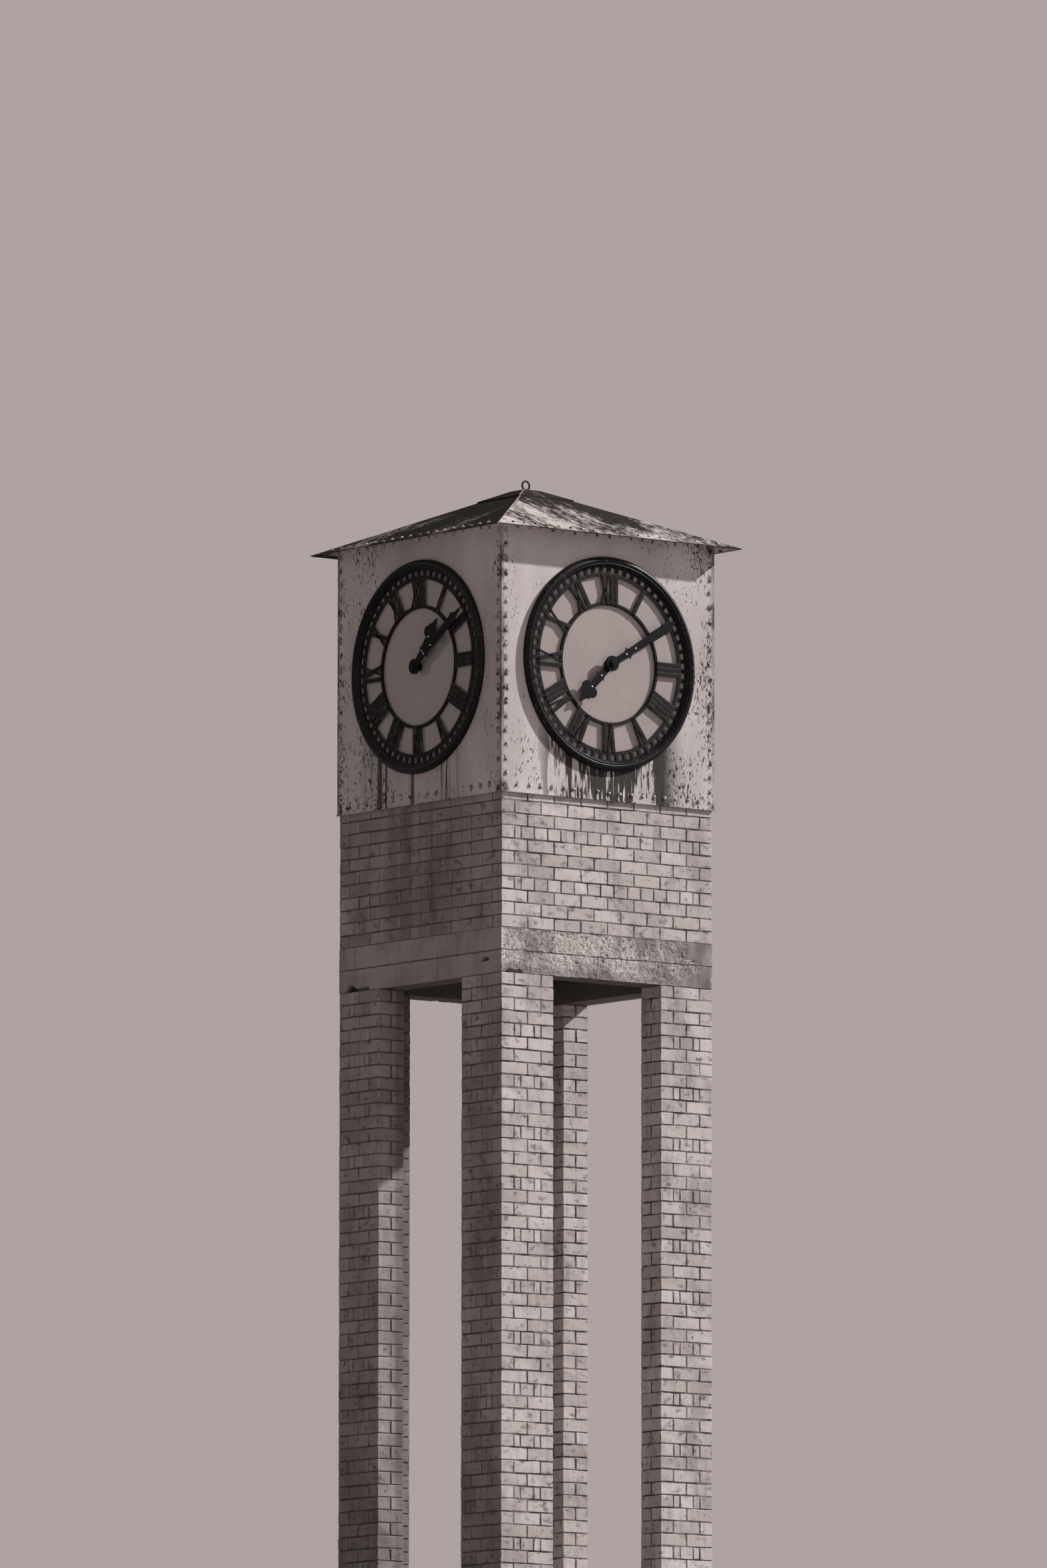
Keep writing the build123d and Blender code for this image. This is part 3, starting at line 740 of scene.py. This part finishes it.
def buildRing():
    bm = bmesh.new()
    height = beamTop - beamBottom
    rough = bm.verts.layers.float.new("rough")
    damp = bm.verts.layers.float.new("damp")
    for side in sides:
        sheet = bmesh.ops.create_grid(bm, x_segments=ring["columns"], y_segments=ring["rows"],
                                      size=1)["verts"]
        roughSide = side in ("front", "back")
        for vert in sheet:
            u = vert.co.x * towerHalf
            rise = (vert.co.y + 1) / 2
            spot = turned(side) @ Vector((u, -towerHalf, beamBottom + rise * height))
            uneven = noise.noise(spot * ring["patchScale"]) * ring["patchWander"]
            inPatch = (u - patchEdge(rise) - uneven) / ring["patchBlend"] + 0.5
            roughness = 1 - min(1.0, max(0.0, inPatch)) if roughSide else 0.0
            vert[damp] = 1 - roughness if roughSide else 0.0
            if rise > 1 - ring["edge"] or rise < ring["edge"]:
                roughness = min(roughness, ring["edgeRough"])
            vert[rough] = roughness
            atCorner = abs(u) > towerHalf - 1e-4
            sunk = (0.5 + 0.5 * noise.noise(spot * ring["fineScale"])) * ring["relief"] * roughness
            sunk += (0.3 + 0.5 * noise.noise(spot * ring["coarseScale"])) * ring["relief"] * roughness
            for place, centre, over, halfWide, halfHigh, depth in damage:
                gap = math.hypot((u - centre) / halfWide, (rise * height - over) / halfHigh)
                if place == side and gap < 1.15 + 0.3 * noise.noise(spot * ring["damageScale"]):
                    sunk = max(sunk, depth)
            chip = max(0.0, noise.noise(spot * ring["chipScale"]) - 0.1) * ring["chip"]
            lift = chip * 2 if rise < ring["edge"] and roughness else 0.0
            if atCorner:
                pulled = 1 - chip / towerHalf
                vert.co = Vector((spot.x * pulled, spot.y * pulled, spot.z))
            else:
                vert.co = turned(side) @ Vector((u, -towerHalf + sunk, spot.z + lift))
    bmesh.ops.remove_doubles(bm, verts=bm.verts, dist=ring["weld"])
    rim = [e for e in bm.edges if e.is_boundary]
    middle = (beamBottom + beamTop) / 2
    foot = [e for e in rim if e.verts[0].co.z < middle]
    crown = [e for e in rim if e.verts[0].co.z > middle]

    def inwards(loop, height):
        grown = bmesh.ops.extrude_edge_only(bm, edges=loop)
        for vert in newVerts(grown):
            widest = max(abs(vert.co.x), abs(vert.co.y))
            vert.co = (vert.co.x * ring["inner"] / widest, vert.co.y * ring["inner"] / widest, height)
            vert[rough] = 0.0
        return [g for g in grown["geom"] if isinstance(g, bmesh.types.BMEdge)]

    innerFoot = inwards(foot, beamBottom)
    innerCrown = inwards(crown, beamTop)
    bmesh.ops.bridge_loops(bm, edges=innerFoot + innerCrown)
    bmesh.ops.recalc_face_normals(bm, faces=bm.faces)
    makePiece("concrete_ring", bm, [concrete], replaced=["ring_beam"])


buildRing()
print("concrete cast")


def domeMesh():
    bm = bmesh.new()
    bmesh.ops.create_uvsphere(bm, u_segments=10, v_segments=8, radius=rivets["radius"])
    bmesh.ops.bisect_plane(bm, geom=bm.verts[:] + bm.edges[:] + bm.faces[:], plane_co=(0, 0, 0),
                           plane_no=(0, 0, -1), clear_outer=True)
    bmesh.ops.scale(bm, verts=bm.verts, vec=(1, 1, rivets["height"] / rivets["radius"]))
    return toMesh(bm, "rivetHead")


def setHeads(bm, head, places):
    for place in places:
        before = len(bm.verts)
        bm.from_mesh(head)
        bm.verts.ensure_lookup_table()
        bmesh.ops.transform(bm, matrix=place, verts=bm.verts[before:])


head = domeMesh()
roofSlope = math.atan(rivets["roofRise"] / eaveHalf)
for side in sides:
    bm = bmesh.new()
    places = []
    spots = []
    for step in range(rivets["columnCount"]):
        height = rivets["columnStart"] + (step - 1) * rivets["pitch"] if step else rivets["rowAt"]
        for end in (-1, 1):
            spots.append((end * rivets["columnAt"], plateBottom + height))
    for step in range(rivets["rowCount"]):
        u = (step - (rivets["rowCount"] - 1) / 2) * rivets["pitch"]
        spots.append((u, plateBottom + rivets["rowAt"]))
        spots.append((u, plateTop - rivets["topRowDrop"]))
    for u, z in spots:
        u += dice.uniform(-1, 1) * rivets["wander"]
        z += dice.uniform(-1, 1) * rivets["wander"] / 2
        swell = dice.uniform(*rivets["swell"])
        places.append(facePlace(side, z) @ Matrix.Translation((u, 0, 0)) @ Matrix.Scale(swell, 4))
    setHeads(bm, head, places)
    makePiece(f"plate_rivets_{side}", bm, [headPaint], smoothAngle=50)
    bm = bmesh.new()
    places = []
    for step in range(rivets["rowCount"] + 2):
        u = (step - (rivets["rowCount"] + 1) / 2) * rivets["pitch"]
        u += dice.uniform(-1, 1) * rivets["wander"]
        up = rivets["roofRow"] + dice.uniform(-1, 1) * rivets["wander"] / 2
        onSlope = Matrix.Translation((u, -eaveHalf, eaveHeight)) @ Matrix.Rotation(roofSlope, 4, "X")
        places.append(turned(side) @ onSlope @ Matrix.Translation((0, up, rivets["roofThickness"])))
    setHeads(bm, head, places)
    makePiece(f"roof_rivets_{side}", bm, [headPaint], smoothAngle=50)
print("rivets set")

# Dial casting, from the centre out, with heights over the face of the plates
dial = {"ringInner": 0.404, "ringOuter": 0.426, "ringBack": -0.005, "trackInner": 0.604,
        "windowInner": 0.628, "windowOuter": 0.6675, "trackOuter": 0.672, "back": 0.001, "front": 0.011,
        "minutes": 60, "windowShare": 0.60, "thin": 0.014, "gap": 0.004, "foot": 0.413, "top": 0.612,
        "edge": 0.0014, "weld": 0.0002, "sharp": 1.0, "bevelSlope": (0.3, 0.9), "bezelSteps": 128}
letterWidths = {"I": 0.030, "V": 0.072, "X": 0.080}
strokeEdge = {"share": 0.11, "drop": 0.0030, "front": 0.0155}  # a flat face between two narrow bevels
# the bezel's moulding: a round outside, a groove, a bead and a slope down to the minute track
bezel = [(0.667, 0.008), (0.667, -0.006), (0.680, -0.006), (0.680, -0.0005), (0.740, -0.0005),
         (0.740, 0.010), (0.7385, 0.018), (0.734, 0.0265), (0.7265, 0.0340), (0.7175, 0.0388),
         (0.7085, 0.0410), (0.7025, 0.0398), (0.6990, 0.0372), (0.6975, 0.0338), (0.6958, 0.0330),
         (0.6938, 0.0352), (0.6908, 0.0370), (0.6875, 0.0368), (0.6850, 0.0346), (0.6838, 0.0310),
         (0.6820, 0.0272), (0.6780, 0.0238), (0.6725, 0.0180), (0.6690, 0.0125)]
numerals = ["XII", "I", "II", "III", "IIII", "V", "VI", "VII", "VIII", "IX", "X", "XI"]


def strokesOf(numeral):
    # left and right of each stroke's top, then of its foot
    widths = [letterWidths[letter] for letter in numeral]
    left = -(sum(widths) + dial["gap"] * (len(numeral) - 1)) / 2
    thick, thin = letterWidths["I"], dial["thin"]
    strokes = []
    for letter, width in zip(numeral, widths):
        right = left + width
        middle = left + width / 2
        if letter == "I":
            strokes.append((left, right, left, right))
        if letter == "V":
            strokes.append((left, left + thick, middle - thin, middle + thin))
            strokes.append((right - thin, right, middle, middle + thin))
        if letter == "X":
            strokes.append((left, left + thick, right - thick, right))
            strokes.append((right - thin, right, left, left + thin))
        left = right + dial["gap"]
    return strokes


def addStroke(bm, stroke, turn):
    topLeft, topRight, footLeft, footRight = stroke
    share, drop = strokeEdge["share"], strokeEdge["drop"]
    columns = [(0, drop), (share, 0), (1 - share, 0), (1, drop)]
    sheet = bmesh.ops.create_grid(bm, x_segments=3, y_segments=1, size=1)["verts"]
    faces = list({f for v in sheet for f in v.link_faces})
    for vert in sheet:
        across, sunk = columns[round((vert.co.x + 1) * 1.5)]
        atTop = vert.co.y > 0
        left, right = (topLeft, topRight) if atTop else (footLeft, footRight)
        radius = dial["top"] if atTop else dial["foot"]
        vert.co = (left + (right - left) * across, radius, strokeEdge["front"] - sunk)
    for face in faces:
        heights = [v.co.z for v in face.verts]
        face.material_index = 1 if max(heights) - min(heights) > drop / 2 else 0
    low = newVerts(bmesh.ops.extrude_face_region(bm, geom=faces))
    for vert in low:
        vert.co.z = dial["back"]
    bmesh.ops.transform(bm, matrix=turn, verts=sheet + low)


def trackAndNumerals():
    bm = bmesh.new()
    sector = math.tau / dial["minutes"]
    halfWindow = dial["windowShare"] / 2
    angles = [-0.5, -halfWindow, halfWindow, 0.5]
    radii = [dial["trackInner"], dial["windowInner"], dial["windowOuter"], dial["trackOuter"]]
    sheet = bmesh.ops.create_grid(bm, x_segments=3, y_segments=3, size=1)["verts"]
    for vert in sheet:
        angle = angles[round((vert.co.x + 1) * 1.5)] * sector + sector / 2
        radius = radii[round((vert.co.y + 1) * 1.5)]
        vert.co = (math.sin(angle) * radius, math.cos(angle) * radius, dial["back"])
    # the window is the one face with no edge on the grid's outside
    window = [f for f in bm.faces if not any(e.is_boundary for e in f.edges)]
    bmesh.ops.delete(bm, geom=window, context="FACES_ONLY")
    first = bm.verts[:] + bm.edges[:] + bm.faces[:]
    for step in range(1, dial["minutes"]):
        copy = newVerts(bmesh.ops.duplicate(bm, geom=first))
        bmesh.ops.rotate(bm, verts=copy, cent=(0, 0, 0), matrix=Matrix.Rotation(-step * sector, 3, "Z"))
    bmesh.ops.remove_doubles(bm, verts=bm.verts, dist=dial["weld"])
    risen = newVerts(bmesh.ops.extrude_face_region(bm, geom=bm.faces[:]))
    bmesh.ops.translate(bm, verts=risen, vec=(0, 0, dial["front"] - dial["back"]))
    bmesh.ops.recalc_face_normals(bm, faces=bm.faces)
    sharp = [e for e in bm.edges if len(e.link_faces) == 2 and e.calc_face_angle() > dial["sharp"]
             and min(v.co.z for v in e.verts) > dial["back"] + dial["weld"]]
    cut = bmesh.ops.bevel(bm, geom=sharp, offset=dial["edge"], affect="EDGES", segments=1, profile=0.5,
                          material=-1)
    # the bevels take the rubbed edge material, which also paints highlights on them
    for face in cut["faces"]:
        face.material_index = 1
    for hour, numeral in enumerate(numerals):
        turn = Matrix.Rotation(-math.tau / 12 * hour, 4, "Z")
        for stroke in strokesOf(numeral):
            addStroke(bm, stroke, turn)
    rim = dial["edge"] * 2
    before = len(bm.faces)
    spinProfile(bm, [(dial["ringInner"], dial["ringBack"]), (dial["ringInner"], dial["front"] - rim),
                     (dial["ringInner"] + rim, dial["front"]), (dial["ringOuter"] - rim, dial["front"]),
                     (dial["ringOuter"], dial["front"] - rim), (dial["ringOuter"], dial["ringBack"])])
    bmesh.ops.recalc_face_normals(bm, faces=bm.faces)
    bm.faces.ensure_lookup_table()
    flat, steep = dial["bevelSlope"]
    for face in bm.faces[before:]:
        face.material_index = 1 if flat < face.normal.z < steep else 0
    return bm


def spinProfile(bm, outline, steps=96):
    # a closed outline of radii and heights, turned about the dial's axis
    made = [bm.verts.new((radius, 0, height)) for radius, height in outline]
    edges = [bm.edges.new((made[i - 1], made[i])) for i in range(len(made))]
    bmesh.ops.spin(bm, geom=made + edges, cent=(0, 0, 0), axis=(0, 0, 1), angle=math.tau, steps=steps,
                   use_merge=True)


for side in sides:
    bm = trackAndNumerals()
    bmesh.ops.transform(bm, matrix=facePlace(side, dialCentre), verts=bm.verts)
    makePiece(f"skeleton_{side}", bm, [casting, edges],
              replaced=[f"dial_{side}"], smoothAngle=25)
    bm = bmesh.new()
    spinProfile(bm, bezel, dial["bezelSteps"])
    bmesh.ops.recalc_face_normals(bm, faces=bm.faces)
    bmesh.ops.transform(bm, matrix=facePlace(side, dialCentre), verts=bm.verts)
    makePiece(f"bezel_{side}", bm, [iron], smoothAngle=40)
print("dials cast")

# Small bright studs along each hand, at distances from the arbor
hands = {"hour": {"studs": (0.129, 0.246), "front": 0.038}, "stud": 0.0072,
         "minute": {"studs": (0.138, 0.230), "front": 0.049},
         "angles": {"front": (225, 59), "right": (39, 56), "back": (225, 59), "left": (39, 56)}}
for side in sides:
    for kind, angle in zip(("hour", "minute"), hands["angles"][side]):
        bm = bmesh.new()
        turn = facePlace(side, dialCentre) @ Matrix.Rotation(-math.radians(angle), 4, "Z")
        size = Matrix.Scale(hands["stud"] / rivets["radius"], 4)
        setHeads(bm, head, [turn @ Matrix.Translation((0, at, hands[kind]["front"])) @ size
                            for at in hands[kind]["studs"]])
        makePiece(f"{kind}_hand_studs_{side}", bm, [steel],
                  body=f"{kind}_hand_{side}", smoothAngle=50)
print("hands dressed")

# Lifting eye: a ring of round bar that stands on a collar, with its shank through the cap
eye = {"bar": 0.007, "ring": 0.031, "collar": 0.020, "collarTop": 0.0172, "collarHeight": 0.008,
       "shank": 0.009}


def buildEye():
    bm = bmesh.new()
    low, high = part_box("lifting_eye")
    centre = high.z - eye["ring"] - eye["bar"]
    section = bmesh.ops.create_circle(bm, segments=12, radius=eye["bar"],
                                      matrix=Matrix.Translation((eye["ring"], 0, centre)))["verts"]
    edges = list({e for v in section for e in v.link_edges})
    bmesh.ops.spin(bm, geom=section + edges, cent=(0, 0, centre), axis=(0, 1, 0), angle=math.tau, steps=40,
                   use_merge=True)
    bmesh.ops.create_cone(bm, cap_ends=True, segments=28, radius1=eye["collar"], radius2=eye["collarTop"],
                          depth=eye["collarHeight"],
                          matrix=Matrix.Translation((0, 0, roofTop + eye["collarHeight"] / 2)))
    shankTop = roofTop + eye["collarHeight"]
    bmesh.ops.create_cone(bm, cap_ends=True, segments=20, radius1=eye["shank"], radius2=eye["shank"],
                          depth=shankTop - low.z,
                          matrix=Matrix.Translation((0, 0, (shankTop + low.z) / 2)))
    bmesh.ops.recalc_face_normals(bm, faces=bm.faces)
    makePiece("eye_ring", bm, [rusted], replaced=["lifting_eye"], smoothAngle=40)


buildEye()
print("eye made")

# Stage: a pale floor and backdrop, a key lamp from the right, two soft ones, and an even fill
stage = {"floorSize": 400.0, "floor": tone(198, 188, 186), "floorSpots": tone(180, 172, 170),
         "floorInLight": (0.24, 0.22, 0.215, 1), "hazeFrom": 10.0, "hazeTo": 90.0,
         "backdrop": tone(175, 163, 162), "fill": 0.122, "fillColour": (1.0, 0.97, 0.96, 1),
         "keyStrength": 4.4, "keyAngle": 1.6, "keyFrom": (0.78, -0.335, 0.59),
         "softStrength": 0.28, "softAngle": 70.0, "softFrom": (-0.1, -1.0, 0.25),
         "backStrength": 0.7, "backAngle": 25.0, "backFrom": (0.30, 1.0, 0.30)}


def floorMaterial():
    place = newMaterial("paleFloor")
    spots = spread(noiseOf(place, 3.0), 0.3, 0.7, 0.0, 0.1)
    # the floor looks pale, and throws less light back up at the tower than it shows
    direct = addNode("ShaderNodeLightPath", {}, "Is Camera Ray")
    shown = blendTones(spots, stage["floor"], stage["floorSpots"])
    colour = blendTones(direct, stage["floorInLight"], shown)
    shader = addNode("ShaderNodeBsdfPrincipled", {"Base Color": colour, "Roughness": 0.8})
    # far away it fades into the backdrop
    away = times(spread(lengthOf(place), stage["hazeFrom"], stage["hazeTo"]), direct)
    haze = addNode("ShaderNodeEmission", {"Color": stage["backdrop"], "Strength": 1.0})
    shader = addNode("ShaderNodeMixShader", {0: away, 1: shader, 2: haze})
    # seen from underneath, it doesn't hide the tower's foot
    under = addNode("ShaderNodeNewGeometry", {}, "Backfacing")
    clear = addNode("ShaderNodeBsdfTransparent", {})
    shader = addNode("ShaderNodeMixShader", {0: under, 1: shader, 2: clear})
    setSurface("ShaderNodeOutputMaterial", shader)
    return making["material"]


bm = bmesh.new()
bmesh.ops.create_grid(bm, x_segments=1, y_segments=1, size=stage["floorSize"] / 2)
floor = addObject("floor", toMesh(bm, "floor"))
floor.data.materials.append(floorMaterial())

world = bpy.data.worlds.new("studio")
bpy.context.scene.world = world
startNodes(world)
rays = addNode("ShaderNodeLightPath", {}).node.outputs
seen = larger(rays["Is Camera Ray"], rays["Is Glossy Ray"], rays["Is Transmission Ray"])
fill = addNode("ShaderNodeBackground", {"Color": stage["fillColour"], "Strength": stage["fill"]})
backdrop = addNode("ShaderNodeBackground", {"Color": stage["backdrop"], "Strength": 1.0})
setSurface("ShaderNodeOutputWorld", addNode("ShaderNodeMixShader", {0: seen, 1: fill, 2: backdrop}))

for lamp in ("key", "soft", "back"):
    lampData = bpy.data.lights.new(lamp, "SUN")
    lampData.energy = stage[lamp + "Strength"]
    lampData.angle = math.radians(stage[lamp + "Angle"])
    light = addObject(lamp, lampData)
    light.rotation_euler = Vector(stage[lamp + "From"]).to_track_quat("Z", "Y").to_euler()

# Camera, from the vanishing lines of the tower: a long lens, below and to the left of it
view = {"azimuth": -37.813, "distance": 100.86, "height": -6.711, "pitch": 6.981, "roll": 0.052,
        "focal": 22063.9, "offset": 3.1, "frameHeight": 2349, "sensor": 24.0, "reach": 1000}
cameraData = bpy.data.cameras.new("camera")
cameraData.sensor_fit = "VERTICAL"
cameraData.sensor_height = view["sensor"]
cameraData.lens = view["focal"] / view["frameHeight"] * view["sensor"]
cameraData.clip_end = view["reach"]
azimuth = math.radians(view["azimuth"])
heading = azimuth + math.atan(view["offset"] / view["focal"])
camera = addObject("camera", cameraData)
stand = (math.sin(azimuth) * view["distance"], -math.cos(azimuth) * view["distance"], view["height"])
camera.matrix_world = (Matrix.Translation(stand) @ Matrix.Rotation(heading, 4, "Z")
                       @ Matrix.Rotation(math.radians(90 + view["pitch"]), 4, "X")
                       @ Matrix.Rotation(math.radians(view["roll"]), 4, "Z"))
bpy.context.scene.camera = camera
bpy.context.scene.view_settings.view_transform = "Standard"

print("scene ready")
